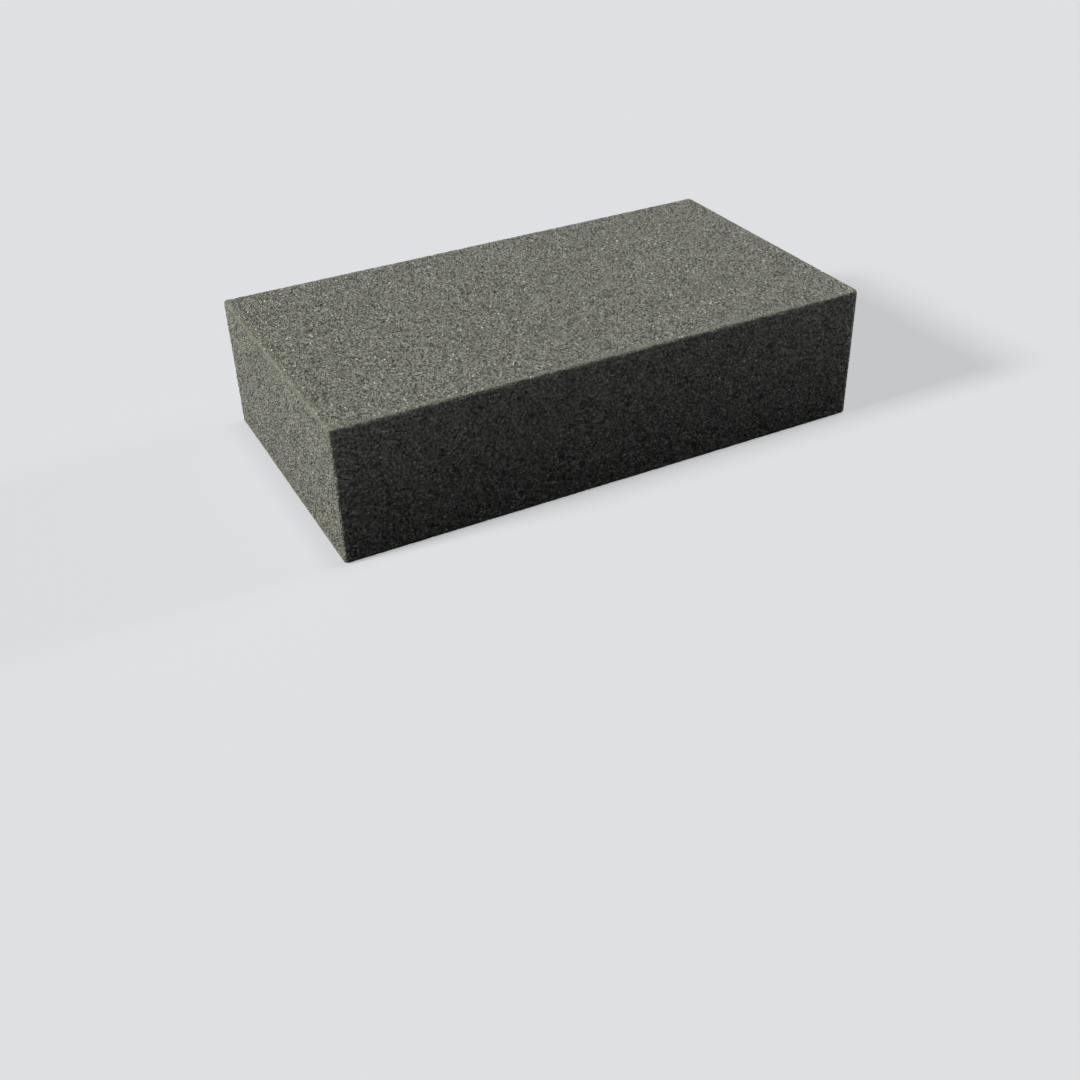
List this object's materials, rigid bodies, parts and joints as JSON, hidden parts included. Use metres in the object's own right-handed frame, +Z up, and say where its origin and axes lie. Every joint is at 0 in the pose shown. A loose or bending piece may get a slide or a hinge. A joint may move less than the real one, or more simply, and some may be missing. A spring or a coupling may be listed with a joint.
{
  "type": "car wash sponge",
  "caption": "Plain rectangular block of dark grey open-cell foam with softened edges, held in the hand to wash a car.",
  "frame": {"origin": "middle of the underside, the widest face, on which the block rests", "axes": "+X along the length, +Y along the width, +Z up through the thickness"},
  "size_m": [0.2, 0.11, 0.05],
  "materials": {
    "foam": "dark olive grey open-cell polyurethane foam, matt, with a fine grain of cut cells"
  },
  "bodies": {
    "root": {"foam_block": "foam"}
  },
  "joints": []
}
